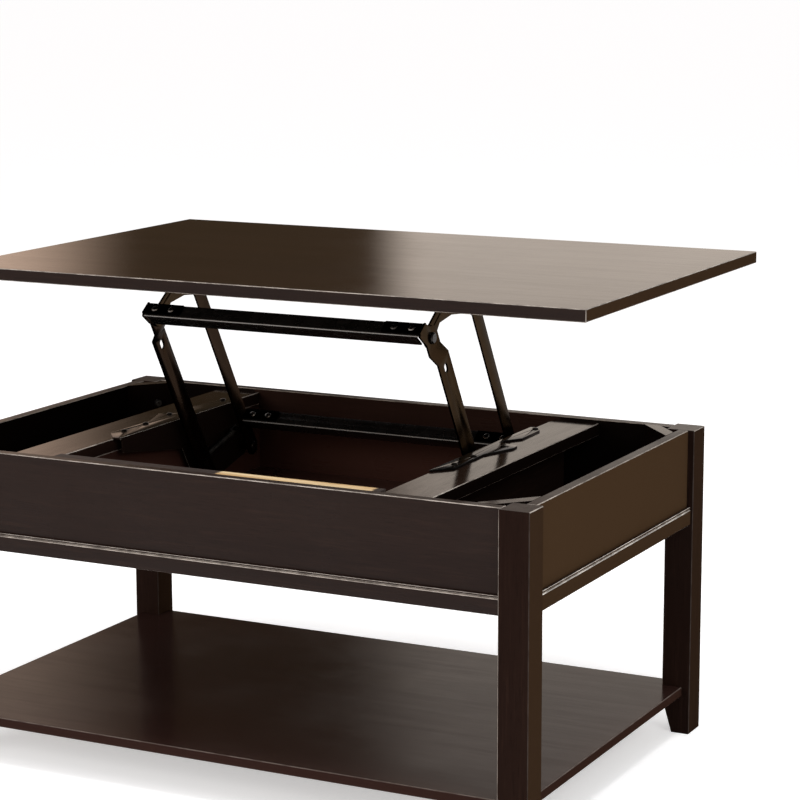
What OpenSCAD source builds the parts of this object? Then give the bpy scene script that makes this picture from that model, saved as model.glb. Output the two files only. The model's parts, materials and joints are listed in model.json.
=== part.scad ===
// Lift-top coffee table: a box on four legs with a lower shelf, and a top that a sprung
// parallelogram linkage lifts and brings back over the box.
// Millimetres. +X to the right seen from the front, front towards -Y, +Z up.
// The top is drawn raised. The origin is on the floor, under the middle of the raised table.

/* [Body] */
// Length of the body over its legs
body_l = 936; // [900:1:1100]
// Depth of the body over its legs
body_d = 608; // [560:1:700]
// Height of the body from the floor to the top edge of the box
body_h = 444; // [400:1:520]
// Side of a square leg
leg_w = 42; // [36:1:60]
// Height over which a foot draws in
foot_h = 50; // [30:1:54]
// How far the inner face of a foot draws in at the floor
foot_taper = 15; // [6:1:20]
// Small bevel that eases the edges of the boards
edge = 1; // [0.5:0.1:2]

/* [Box] */
// Height of the aprons, which are the walls of the box
apron_h = 135; // [130:1:165]
// Thickness of the aprons
apron_t = 15; // [12:1:20]
// How far the face of an apron lies behind the face of a leg
apron_recess = 9; // [7:0.5:14]
// Height of the moulding along the foot of an apron
rail_h = 25; // [18:1:35]
// How far the moulding stands out from the apron
rail_t = 5.5; // [3:0.5:7]
// Height of the bead along the top of the moulding
bead_h = 2.6; // [1.5:0.1:4]
// Height of the groove under the bead
quirk_h = 1.6; // [1:0.1:3]
// Depth of the groove under the bead
quirk_d = 1.4; // [0.8:0.1:2]
// Width of the middle compartment between its two walls
comp_w = 494; // [470:1:560]
// Thickness of the walls of the middle compartment
divider_t = 15; // [12:1:18]
// Thickness of the floor of the box
floor_t = 5; // [3:0.5:9]
// Height of the strips that carry the floor
ledger_h = 8; // [6:1:16]
// Width of the strips that carry the floor
ledger_w = 12; // [8:1:16]
// Width of the boards that carry the lift
ledge_w = 69; // [60:1:80]
// Thickness of the boards that carry the lift
ledge_t = 18; // [15:1:22]
// How far the boards that carry the lift lie below the top edge of the box
ledge_drop = 5; // [4:0.5:9]
// Width of the cleat along the front apron
front_cleat_w = 26; // [20:1:32]
// How far that cleat lies below the top edge of the box
cleat_drop = 2; // [1:0.5:4]
// Reach of a corner brace along the long apron
brace_x = 59; // [50:1:70]
// Reach of a corner brace along the short apron
brace_y = 66; // [56:1:80]
// Height of a corner brace
brace_h = 60; // [40:1:80]
// Gap between boards that meet without being joined
wood_gap = 0.3; // [0.1:0.05:0.5]
// Radius of the bolts that hold the legs
hanger_r = 3; // [2.5:0.5:4]
// Depth of those bolts in the leg
hanger_in = 24; // [16:1:28]
// Radius of the nuts on those bolts
nut_r = 6; // [5:0.5:7]
// Thickness of those nuts
nut_t = 5; // [3.5:0.5:6]

/* [Shelf] */
// Height of the shelf's upper face above the floor
shelf_z = 69; // [66:1:120]
// Thickness of the shelf
shelf_t = 13.5; // [11:0.5:15]
// How far the shelf's edge lies behind the face of a leg
shelf_inset = 12; // [4:1:16]
// Radius of the dowels between the shelf and the legs
dowel_r = 3; // [2:0.5:4]
// Length of those dowels
dowel_l = 30; // [20:1:36]

/* [Top] */
// Length of the top
top_l = 966; // [930:1:1140]
// Depth of the top
top_d = 638; // [580:1:740]
// Thickness of the top
top_t = 17; // [15:1:25]
// Height of the closed top above the box
top_gap = 0.5; // [0.3:0.1:2]

/* [Lift] */
// Length of the four arms between their pivots
arm_l = 305; // [290:1:315]
// Angle of the arms above level when the top is raised
open_a = 60; // [50:0.5:64]
// Angle of the arms above level when the top is closed
closed_a = 9.5; // [6:0.5:12]
// Place of the lower front pivot behind the middle of the body
pivot_y = 85; // [75:1:95]
// Height of the lower front pivot above the floor of the box
pivot_up = 20; // [19.5:0.5:26]
// How far the rear pivots lie behind the front ones
link_back = 118; // [108:1:122]
// How far the rear pivots lie above the front ones
link_up = 30; // [26:0.5:32]
// Thickness of the arms
arm_t = 3; // [2.5:0.1:3.5]
// Room for a spring between a lower bracket and a front arm
spring_space = 15.5; // [13:0.5:20]
// How much further in the left-hand side of the lift stands than the right-hand side
left_in = 10; // [0:0.5:12]
// Sideways gap between the head of a front arm and its top bracket
head_gap = 0.7; // [0.4:0.1:1]
// How far in from a front arm a rear arm stands
rear_in = 1.8; // [1:0.1:2.5]
// Width of a front arm
arm_w = 34; // [30:1:36]
// Width of a rear arm
rear_arm_w = 25; // [20:1:28]
// Radius of the head of a rear arm
rear_head_r = 16; // [13:0.5:17]
// Sideways step in a front arm below its head
jog = 8.5; // [7:0.1:8.5]
// Distance from the upper pivot to the start of the step
jog_at = 20; // [18:0.5:24]
// Length of the step along the arm
jog_l = 13; // [10:0.5:16]
// Distance from the upper pivot to the middle of the slot
slot_at = 50; // [48:0.5:60]
// Length of the slot
slot_l = 14.5; // [12:0.5:24]
// Width of the slot
slot_w = 9; // [5:0.5:10]
// Radius of the pivot pins
pin_r = 4; // [3.5:0.1:4.5]
// Radius of the heads of the pivot pins
pin_head_r = 8; // [6.5:0.1:9]
// Thickness of the heads of the pivot pins
pin_head_t = 3.3; // [2:0.1:4]
// Radius of the shoulders of the lower pivot pins
shoulder_r = 7; // [6:0.1:8]
// Radial clearance of an arm on its pin
run_gap = 0.08; // [0.02:0.01:0.1]
// Radial clearance of a pin or screw in the piece that holds it
set_gap = 0.05; // [0.02:0.01:0.1]
// Sideways gap between moving plates
side_gap = 0.2; // [0.1:0.05:0.3]
// Radial clearance of a top bracket on its rear pivot
open_gap = 0.15; // [0.05:0.01:0.2]

/* [Crossbars] */
// Width of each leg of a crossbar's angle section
bar_leg = 24; // [20:1:25]
// Thickness of the crossbars
bar_t = 2.5; // [1.5:0.1:3]
// Outer radius of the bend between the legs of the section
bar_bend = 2.5; // [1.5:0.1:3]
// Half of the angle between the legs of the section
bar_half = 36; // [34:1:42]
// How far the upper bar's ridge lies in front of the upper pivot
bar_fwd = 36.5; // [35:0.5:40]
// How far the upper bar's ridge lies above the upper pivot
bar_up = 6.4; // [4:0.1:10]
// How far the lower bar's ridge lies in front of the lower rear pivot
low_bar_fwd = 33; // [30:0.5:36]
// How far the lower bar's ridge lies above the lower rear pivot
low_bar_up = 44.5; // [40:0.5:46]
// Forward tilt of the lower bar's section
low_bar_tilt = 0; // [-4:0.5:6]
// How far the lower leg of the upper bar stops short of each arm
bar_relief = 4; // [2:0.5:6]
// Length of the tabs that are riveted onto the bars
tab_l = 56; // [46:1:70]
// Thickness of those tabs
tab_t = 2.5; // [1.5:0.1:3]
// Radius of the rivet shanks
rivet_r = 2.5; // [2:0.1:3]
// Radius of the rivet heads
rivet_head_r = 5; // [4:0.1:6]
// Distance between the two rivets in a tab
rivet_pitch = 26; // [16:1:32]
// Distance from the outer rivet in a tab to the arm
rivet_in = 14; // [12:1:18]

/* [Brackets] */
// Thickness of the lower brackets
bracket_t = 2.5; // [1.5:0.1:3]
// Reach of a lower bracket in front of its front pivot
bracket_fwd = 212; // [190:1:230]
// Width of a lower bracket's front lobe on its board
lobe_w = 24; // [22:1:34]
// Width of a lower bracket's middle lobe on its board
mid_lobe_w = 40; // [34:1:48]
// Radius of a lower bracket round its pivots
lobe_r = 17; // [14:0.5:18]
// Thickness of the brackets under the top
top_bracket_t = 3; // [2:0.1:3.2]
// Width of the flange of a top bracket
top_flange_w = 27; // [22:1:34]
// Length of a top bracket behind its front pivot
top_bracket_l = 165; // [150:1:240]
// Radius of a top bracket round its front pivot
top_lobe_r = 14; // [11:0.5:15]
// Radius of a top bracket round its rear pivot
rear_lobe_r = 13; // [10:0.5:14]
// Distance from the front edge of a top bracket to its pressed rib
rib_in = 6; // [5:0.5:9]
// Width of that rib
rib_w = 4; // [3:0.5:6]
// Depth of that rib
rib_d = 1; // [0.6:0.1:1.5]
// Radius of the screws
screw_r = 2; // [1.5:0.1:2.2]
// Radius of the screw heads
screw_head_r = 4.4; // [3.5:0.1:5]
// Height of the screw heads
screw_head_h = 2.2; // [1.5:0.1:3]
// Length of a screw in the wood
screw_in = 13; // [8:0.5:14]

/* [Springs] */
// Distance along the front arm from its lower pivot to its spring pin
spring_arm = 35; // [30:0.5:40]
// How far the fixed spring pin lies behind the lower front pivot
spring_back = 92; // [86:0.5:98]
// Height of the fixed spring pin above the lower front pivot
spring_up = 60; // [54:0.5:66]
// Radius of the spring wire
wire_r = 0.9; // [0.6:0.05:1]
// Radius of a coil to the middle of its wire
coil_r = 4.7; // [4.2:0.1:5]
// Turns of a spring
coils = 25; // [16:1:30]
// Distance from turn to turn
coil_pitch = 3.3; // [2.8:0.1:3.5]
// Radius of the bend from the coil into its hook
hook_bend = 2.6; // [2.2:0.1:3]
// Gap between a hook and its pin
hook_gap = 0.3; // [0.1:0.05:0.4]

/* [Hidden] */
$fn = 64;

// Body planes
half_l = body_l / 2;
half_d = body_d / 2;
leg_in_x = half_l - leg_w;
leg_in_y = half_d - leg_w;
apron_x = half_l - apron_recess - apron_t;
apron_y = half_d - apron_recess - apron_t;
box_z = body_h - apron_h;
floor_z = box_z + ledger_h;
floor_top = floor_z + floor_t;
ledge_top = body_h - ledge_drop;
ledge_z = ledge_top - ledge_t;
cleat_top = body_h - cleat_drop;
comp_x = comp_w / 2;
ledge_x = comp_x + ledge_w;

// Corner braces: a line from the long apron to the short one, and its direction to the leg
brace_len = norm([brace_x, brace_y]);
brace_n = [brace_y, brace_x] / brace_len;
brace_p = [apron_x - brace_x, apron_y];
brace_t = ([leg_in_x, leg_in_y] - brace_p) * brace_n - wood_gap;
brace_z = body_h - brace_h;
hanger_z = body_h - brace_h / 2;

// Lift, in the plane of depth and height: lower pivots, raised pivots and the travel
front_pivot = [pivot_y, floor_top + pivot_up];
link = [link_back, link_up];
rear_pivot = front_pivot + link;
reach = [-arm_l * cos(open_a), arm_l * sin(open_a)];
front_head = front_pivot + reach;
rear_head = rear_pivot + reach;
top_shift = arm_l * (cos(closed_a) - cos(open_a));
top_rise = arm_l * (sin(open_a) - sin(closed_a));
under_z = body_h + top_gap + top_rise;

// Lift, across the table: each plate's inner plane on the right-hand side
bracket_x = comp_x - bracket_t;
arm_x = bracket_x - spring_space - arm_t;
head_x = arm_x - jog;
web_x = head_x - head_gap - top_bracket_t;
rear_arm_x = arm_x - rear_in;
spring_x = bracket_x - spring_space / 2;

// Crossbars
bar_ridge = front_head + [-bar_fwd, bar_up];
low_bar_ridge = rear_pivot + [-low_bar_fwd, low_bar_up];
rivet_along = bar_leg * 0.55;
tab_from = bar_bend / tan(bar_half) + 1;
bar_arc = [for (i = [0:6]) let (a = 90 + bar_half + (180 - 2 * bar_half) * i / 6)
    [bar_bend / sin(bar_half), 0] + bar_bend * [cos(a), sin(a)]];
function on_bar(s, d) = [s * cos(bar_half) - d * sin(bar_half), s * sin(bar_half) + d * cos(bar_half)];

// Brackets
bracket_y = pivot_y - bracket_fwd;
bracket_end = pivot_y + link_back - 3;
bracket_top = ledge_top + bracket_t;
base_screw_at = [[12, 47], [13, 105], [21, bracket_fwd - 30], [10, bracket_fwd + link_back - 15]];
web_h = under_z - front_head.y;
top_screw_at = [0.36, 0.63, 0.9];
flange_z = under_z - top_bracket_t;

// Springs
arm_spring_pin = front_pivot + reach / arm_l * spring_arm;
fixed_spring_pin = front_pivot + [spring_back, spring_up];
spring_v = fixed_spring_pin - arm_spring_pin;
spring_l = norm(spring_v);
spring_pin_r = coil_r - wire_r - hook_gap;
coil_l = coils * coil_pitch;
coil_start = (spring_l - coil_l) / 2;
coil_rings = 8;

// The origin lies under the middle of the raised table
frame_y = (top_shift + top_d / 2 - half_d) / 2;

wood = "#33261f";
bare = "#c79a62";
steel = "#201c1a";
bright = "#8d8f92";

// Moves a piece from the middle of the body to the frame of the raised table
module placed() {
    translate([0, -frame_y, 0])
    children();
}

// Copies a right-hand piece to the left-hand side as well
module both_sides() {
    children();
    mirror([1, 0, 0])
    children();
}

// Copies a rear piece to the front as well
module mirror_y() {
    children();
    mirror([0, 1, 0])
    children();
}

// Moves a right-hand piece of the lift to its left-hand side
module to_left() {
    translate([left_in, 0, 0])
    mirror([1, 0, 0])
    children();
}

// Copies a right-hand piece of the lift to its left-hand side as well
module lift_sides() {
    children();
    to_left()
    children();
}

// A rectangle with eased corners, one corner at the origin
module eased_outline(w, h, c) {
    polygon([[c, 0], [w - c, 0], [w, c], [w, h - c], [w - c, h], [c, h], [0, h - c], [0, c]]);
}

// A board between two opposite corners, with all its edges eased
module board(lo, hi, c = edge) {
    s = hi - lo;
    translate(lo)
    intersection() {
        linear_extrude(s.z)
        eased_outline(s.x, s.y, c);
        translate([0, s.y, 0])
        rotate([90, 0, 0])
        linear_extrude(s.y)
        eased_outline(s.x, s.z, c);
        rotate([90, 0, 90])
        linear_extrude(s.x)
        eased_outline(s.y, s.z, c);
    }
}

// A plate across the table from x0 to x1, drawn in depth and height
module plate(x0, x1) {
    translate([x0, 0, 0])
    rotate([90, 0, 90])
    linear_extrude(x1 - x0)
    children();
}

// A round bar across the table at a point in depth and height
module bar(p, r, x0, x1) {
    plate(x0, x1)
    translate(p)
    circle(r);
}

// A turned pin across the table, its outline given as radius and place across
module turned(p, outline) {
    translate([0, p.x, p.y])
    rotate([0, 90, 0])
    rotate_extrude()
    polygon(outline);
}

// The frame of an arm, with its length along X and its front edge towards +Y
module along_arm(p) {
    translate(p)
    rotate(180 - open_a)
    children();
}

// A leg at the right rear corner of the body
module corner_leg() {
    difference() {
        translate([leg_in_x, leg_in_y, 0])
        intersection() {
            linear_extrude(body_h)
            eased_outline(leg_w, leg_w, edge);
            translate([0, leg_w, 0])
            rotate([90, 0, 0])
            linear_extrude(leg_w)
            polygon([[foot_taper, 0], [leg_w - edge, 0], [leg_w, edge], [leg_w, body_h - edge],
                [leg_w - edge, body_h], [edge, body_h], [0, body_h - edge], [0, foot_h]]);
        }
        hanger(hanger_r + set_gap, 0, hanger_in);
        shelf_dowel(dowel_r + set_gap, set_gap);
    }
}

// The line of a leg's bolt at the right rear corner, from the leg's inner edge
module hanger(r, from, to) {
    translate([leg_in_x, leg_in_y, hanger_z])
    rotate([0, 90, atan2(brace_n.y, brace_n.x)])
    translate([0, 0, from])
    cylinder(r = r, h = to - from);
}

// A dowel between the shelf and the right rear leg
module shelf_dowel(r, more) {
    translate([leg_in_x - dowel_l / 2 - more, (leg_in_y + half_d - shelf_inset) / 2, shelf_z - shelf_t / 2])
    rotate([0, 90, 0])
    cylinder(r = r, h = dowel_l + 2 * more);
}

module leg_front_left() {
    color(wood)
    placed()
    mirror([1, 0, 0])
    mirror([0, 1, 0])
    corner_leg();
}

module leg_front_right() {
    color(wood)
    placed()
    mirror([0, 1, 0])
    corner_leg();
}

module leg_rear_left() {
    color(wood)
    placed()
    mirror([1, 0, 0])
    corner_leg();
}

module leg_rear_right() {
    color(wood)
    placed()
    corner_leg();
}

// A long apron at the rear
module long_apron() {
    board([-leg_in_x, apron_y, box_z], [leg_in_x, apron_y + apron_t, body_h]);
}

// A short apron at the right
module short_apron() {
    board([apron_x, -leg_in_y, box_z], [apron_x + apron_t, leg_in_y, body_h]);
}

module apron_front() {
    color(wood)
    placed()
    mirror([0, 1, 0])
    long_apron();
}

module apron_rear() {
    color(wood)
    placed()
    long_apron();
}

module apron_left() {
    color(wood)
    placed()
    mirror([1, 0, 0])
    short_apron();
}

module apron_right() {
    color(wood)
    placed()
    short_apron();
}

// The moulding's section, standing out along +X from the apron
module rail_section() {
    square_h = rail_h - bead_h - quirk_h;
    difference() {
        eased_outline(rail_t, rail_h, 0.6);
        translate([rail_t - quirk_d, square_h])
        square([quirk_d + 1, quirk_h]);
        translate([rail_t - quirk_d / 2, square_h + quirk_h / 2])
        square([quirk_d / 2 + 1, bead_h + quirk_h]);
    }
    translate([0, square_h + quirk_h / 2])
    square([rail_t - quirk_d, quirk_h / 2]);
}

// The moulding at the rear, seated on the long apron
module long_rail() {
    translate([-leg_in_x, apron_y + apron_t, box_z])
    rotate([90, 0, 90])
    linear_extrude(2 * leg_in_x)
    rail_section();
}

// The moulding at the right, seated on the short apron
module short_rail() {
    translate([apron_x + apron_t, leg_in_y, box_z])
    rotate([90, 0, 0])
    linear_extrude(2 * leg_in_y)
    rail_section();
}

module rail_front() {
    color(wood)
    placed()
    mirror([0, 1, 0])
    long_rail();
}

module rail_rear() {
    color(wood)
    placed()
    long_rail();
}

module rail_left() {
    color(wood)
    placed()
    mirror([1, 0, 0])
    short_rail();
}

module rail_right() {
    color(wood)
    placed()
    short_rail();
}

// Copies a piece at the right rear corner to the other three corners
module four_corners() {
    both_sides()
    children();
    mirror([0, 1, 0])
    both_sides()
    children();
}

module corner_braces() {
    color(wood)
    placed()
    four_corners()
    difference() {
        translate([0, 0, brace_z])
        linear_extrude(brace_h)
        polygon([brace_p, [apron_x, apron_y - brace_y], [apron_x, apron_y - brace_y + brace_t / brace_n.y],
            [brace_p.x + brace_t / brace_n.x, apron_y]]);
        hanger(hanger_r + set_gap, -brace_t - 5, 5);
    }
}

module hanger_bolts() {
    color(bright)
    placed()
    four_corners()
    hanger(hanger_r, -brace_t - wood_gap - nut_t - 3, hanger_in - 1);
}

module hanger_nuts() {
    color(bright)
    placed()
    four_corners()
    difference() {
        translate([leg_in_x, leg_in_y, hanger_z])
        rotate([0, 90, atan2(brace_n.y, brace_n.x)])
        translate([0, 0, -brace_t - wood_gap - nut_t])
        cylinder(r = nut_r, h = nut_t, $fn = 6);
        hanger(hanger_r + set_gap, -brace_t - wood_gap - nut_t - 1, -brace_t + 1);
    }
}

module shelf() {
    color(wood)
    placed()
    difference() {
        board([-half_l + shelf_inset, -half_d + shelf_inset, shelf_z - shelf_t],
            [half_l - shelf_inset, half_d - shelf_inset, shelf_z], edge);
        four_corners() {
            translate([leg_in_x - wood_gap, leg_in_y - wood_gap, shelf_z - shelf_t - 1])
            cube([leg_w, leg_w, shelf_t + 2]);
            shelf_dowel(dowel_r + set_gap, set_gap);
        }
    }
}

module shelf_dowels() {
    color(bare)
    placed()
    four_corners()
    shelf_dowel(dowel_r, 0);
}

module storage_floor() {
    color(wood)
    placed()
    difference() {
        translate([-apron_x + wood_gap, -apron_y + wood_gap, floor_z])
        cube([2 * (apron_x - wood_gap), 2 * (apron_y - wood_gap), floor_t]);
        four_corners()
        translate([leg_in_x - wood_gap, leg_in_y - wood_gap, floor_z - 1])
        cube([leg_w, leg_w, floor_t + 2]);
    }
}

module floor_strips() {
    color(wood)
    placed() {
        mirror_y()
        translate([-leg_in_x + wood_gap, apron_y - ledger_w, box_z])
        cube([2 * (leg_in_x - wood_gap), ledger_w, ledger_h]);
        both_sides()
        translate([apron_x - ledger_w, -leg_in_y + ledger_w, box_z])
        cube([ledger_w, 2 * (leg_in_y - ledger_w), ledger_h]);
    }
}

// The wall between the middle compartment and the right-hand bin
module divider() {
    board([comp_x, -apron_y, floor_top], [comp_x + divider_t, apron_y, ledge_z], 0.5);
}

module divider_left() {
    color(wood)
    placed()
    mirror([1, 0, 0])
    divider();
}

module divider_right() {
    color(wood)
    placed()
    divider();
}

// The board that carries the right-hand side of the lift
module ledge() {
    difference() {
        board([comp_x, -apron_y, ledge_z], [ledge_x, apron_y, ledge_top]);
        for (s = base_screw_at) {
            translate([comp_x + s.x, bracket_y + s.y, ledge_top - screw_in - 0.5])
            cylinder(r = screw_r + set_gap, h = screw_in + 1);
        }
    }
}

module ledge_left() {
    color(wood)
    placed()
    mirror([1, 0, 0])
    ledge();
}

module ledge_right() {
    color(wood)
    placed()
    ledge();
}

module front_cleat() {
    color(bare)
    placed()
    board([-comp_x, -apron_y, ledge_z], [comp_x, -apron_y + front_cleat_w, cleat_top], 0.6);
}

// The lower bracket on the right: a flange on its board and a cheek that holds both pivots.
// The flange can be made wider, for a cheek that stands further in.
module base_bracket(more = 0) {
    lobe = lobe_w + more;
    mid_lobe = mid_lobe_w + more;
    difference() {
        union() {
            plate(bracket_x, comp_x) {
                polygon([[bracket_y + 6, bracket_top], [bracket_y + 6, bracket_top - 22],
                    [pivot_y - 50, bracket_top - 45], front_pivot + [-lobe_r, 0],
                    front_pivot + [0, -lobe_r], rear_pivot + [0, -lobe_r], rear_pivot + [lobe_r, 0],
                    [rear_pivot.x + 10, bracket_top - 25], [bracket_end, bracket_top - 12],
                    [bracket_end, bracket_top]]);
                translate(front_pivot)
                circle(lobe_r);
                translate(rear_pivot)
                circle(lobe_r);
            }
            translate([bracket_x, bracket_y, ledge_top])
            linear_extrude(bracket_t)
            polygon([[0, 0], [bracket_t + more, 0], [lobe, 27], [lobe - 3, bracket_fwd - 88],
                [mid_lobe, bracket_fwd - 32], [mid_lobe - 2, bracket_fwd - 15],
                [bracket_t + more + 5, bracket_fwd - 4], [bracket_t + more + 5, bracket_fwd + 10],
                [lobe - 1, bracket_fwd + 35], [lobe - 3, bracket_end - bracket_y - 16],
                [lobe - 12, bracket_end - bracket_y], [0, bracket_end - bracket_y]]);
        }
        bar(front_pivot, pin_r + set_gap, bracket_x - 1, comp_x + 1);
        bar(rear_pivot, pin_r + set_gap, bracket_x - 1, comp_x + 1);
        bar(fixed_spring_pin, spring_pin_r + set_gap, bracket_x - 1, comp_x + 1);
        for (s = base_screw_at) {
            translate([comp_x + more + s.x, bracket_y + s.y, ledge_top - 1])
            cylinder(r = screw_r + set_gap, h = bracket_t + 2);
        }
    }
}

module base_bracket_left() {
    color(steel)
    placed()
    to_left()
    base_bracket(left_in);
}

module base_bracket_right() {
    color(steel)
    placed()
    base_bracket();
}

// A round-headed screw pointing down, its head's seat at the origin
module screw(grip) {
    rotate_extrude()
    polygon([[0, -grip], [screw_r * 0.4, -grip], [screw_r, -grip + 2], [screw_r, 0], [screw_head_r, 0],
        [screw_head_r, screw_head_h * 0.4], [screw_head_r * 0.7, screw_head_h * 0.85],
        [screw_head_r * 0.3, screw_head_h], [0, screw_head_h]]);
}

module base_screws() {
    color(bright)
    placed()
    both_sides()
    for (s = base_screw_at) {
        translate([comp_x + s.x, bracket_y + s.y, bracket_top])
        screw(screw_in + bracket_t);
    }
}

// A lower pivot pin: head, bearing for the arm, shoulder and the end held in the bracket
module base_pin(p, plate_x) {
    seat = plate_x - side_gap;
    step = plate_x + arm_t + side_gap;
    turned(p, [[0, seat - pin_head_t], [pin_head_r - 1.2, seat - pin_head_t], [pin_head_r, seat - pin_head_t + 1.2],
        [pin_head_r, seat], [pin_r, seat], [pin_r, step], [shoulder_r, step], [shoulder_r, bracket_x],
        [pin_r, bracket_x], [pin_r, comp_x], [0, comp_x]]);
}

module base_pivot_pins() {
    color(bright)
    placed()
    lift_sides() {
        base_pin(front_pivot, arm_x);
        base_pin(rear_pivot, rear_arm_x);
    }
}

// A pin that carries a spring hook, with a collar at its free end
module spring_anchor_pins() {
    free = spring_x - 5.6;
    color(bright)
    placed()
    lift_sides()
    turned(fixed_spring_pin, [[0, free - 1.4], [spring_pin_r + 1.6, free - 1.4],
        [spring_pin_r + 1.6, free], [spring_pin_r, free], [spring_pin_r, comp_x], [0, comp_x]]);
}

module arm_spring_pins() {
    free = spring_x + 5.2;
    seat = arm_x - side_gap;
    color(bright)
    placed()
    lift_sides()
    turned(arm_spring_pin, [[0, seat - 2], [spring_pin_r + 2, seat - 2], [spring_pin_r + 2, seat],
        [spring_pin_r, seat], [spring_pin_r, free], [spring_pin_r + 1.4, free],
        [spring_pin_r + 1.4, free + 1.4], [0, free + 1.4]]);
}

// Spring: the middle line of its wire as place, outward direction and running direction.
// Along the spring, across it in the plane of the arms, and across the table.
hook_turn = 200;
s_hook0 = [for (i = [0:10]) let (q = hook_turn * (1 - i / 10))
    [[-coil_r * sin(q), coil_r * cos(q), -hook_bend], [-sin(q), cos(q), 0], [cos(q), sin(q), 0]]];
s_bend0 = [for (i = [0:4]) let (q = 90 * (1 - i / 4))
    [[coil_start - hook_bend * (1 - cos(q)), coil_r, -hook_bend * sin(q)],
        [0, 1, 0], [sin(q), 0, cos(q)]]];
s_coil = [for (i = [1:coils * coil_rings - 1]) let (q = 360 * i / coil_rings)
    [[coil_start + coil_l * i / (coils * coil_rings), coil_r * cos(q), coil_r * sin(q)],
        [0, cos(q), sin(q)], [coil_pitch / 360, -coil_r * PI / 180 * sin(q), coil_r * PI / 180 * cos(q)]]];
s_bend1 = [for (i = [0:4]) let (q = 90 * i / 4)
    [[coil_start + coil_l + hook_bend * (1 - cos(q)), coil_r, hook_bend * sin(q)],
        [0, 1, 0], [sin(q), 0, cos(q)]]];
s_hook1 = [for (i = [0:10]) let (q = hook_turn * i / 10)
    [[spring_l + coil_r * sin(q), coil_r * cos(q), hook_bend], [sin(q), cos(q), 0], [cos(q), -sin(q), 0]]];
s_line = concat(s_hook0, s_bend0, s_coil, s_bend1, s_hook1);
s_gap = min([for (i = [0:len(s_line) - 1]) for (j = [i + 6:1:len(s_line) - 1])
    norm(s_line[i][0] - s_line[j][0])]) - 2 * wire_r;
echo(str("least gap between the turns of a spring: ", s_gap, " mm"));

// The wire as one tube of six sides along the middle line
module spring_wire() {
    n = len(s_line);
    points = [for (s = s_line) let (t = s[2] / norm(s[2]), u = s[1], v = cross(t, u))
        for (k = [0:5]) s[0] + wire_r * (cos(60 * k) * u + sin(60 * k) * v)];
    sides = [for (i = [0:n - 2]) for (k = [0:5]) let (a = 6 * i + k, b = 6 * i + (k + 1) % 6)
        each [[a, a + 6, b], [b, a + 6, b + 6]]];
    first = [for (k = [1:4]) [0, k, k + 1]];
    last = [for (k = [1:4]) [6 * n - 6, 6 * n - 6 + k + 1, 6 * n - 6 + k]];
    polyhedron(points, concat(sides, first, last));
}

// The right-hand spring between its two pins
module spring() {
    translate([spring_x, arm_spring_pin.x, arm_spring_pin.y])
    rotate([atan2(spring_v.y, spring_v.x), 0, 0])
    rotate([90, 0, 90])
    spring_wire();
}

module spring_left() {
    color(bright)
    placed()
    to_left()
    spring();
}

module spring_right() {
    color(bright)
    placed()
    spring();
}

// The angle section of a crossbar, its ridge at the origin and its legs opening to the rear
module bar_section() {
    e = bar_leg * [cos(bar_half), sin(bar_half)];
    w = bar_t * [sin(bar_half), -cos(bar_half)];
    polygon([each bar_arc, [e.x, -e.y], [e.x + w.x, -e.y - w.y], [bar_t / sin(bar_half), 0],
        [e.x + w.x, e.y + w.y], e]);
}

// A tab that lies on the upper leg of a crossbar
module tab_section() {
    rotate(bar_half)
    translate([tab_from, 0])
    square([bar_leg - 1 - tab_from, tab_t]);
}

// A rivet through the upper leg of a crossbar and the tab on it
module bar_rivet(x, ridge, tilt) {
    translate([x, ridge.x, ridge.y])
    rotate([bar_half - tilt, 0, 0])
    translate([0, rivet_along, 0])
    rotate_extrude()
    polygon([[0, -bar_t - 2], [rivet_head_r - 1, -bar_t - 2], [rivet_head_r, -bar_t], [rivet_r, -bar_t],
        [rivet_r, tab_t], [rivet_head_r, tab_t], [rivet_head_r * 0.8, tab_t + 1.3],
        [rivet_head_r * 0.4, tab_t + 2], [0, tab_t + 2]]);
}

// The bores for the rivets of a tab
module rivet_bores(x0, ridge, tilt) {
    for (k = [0, 1]) {
        translate([x0 - rivet_in - k * rivet_pitch, ridge.x, ridge.y])
        rotate([bar_half - tilt, 0, 0])
        translate([0, rivet_along, -bar_t - 1])
        cylinder(r = rivet_r + set_gap, h = bar_t + tab_t + 2);
    }
}

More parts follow.
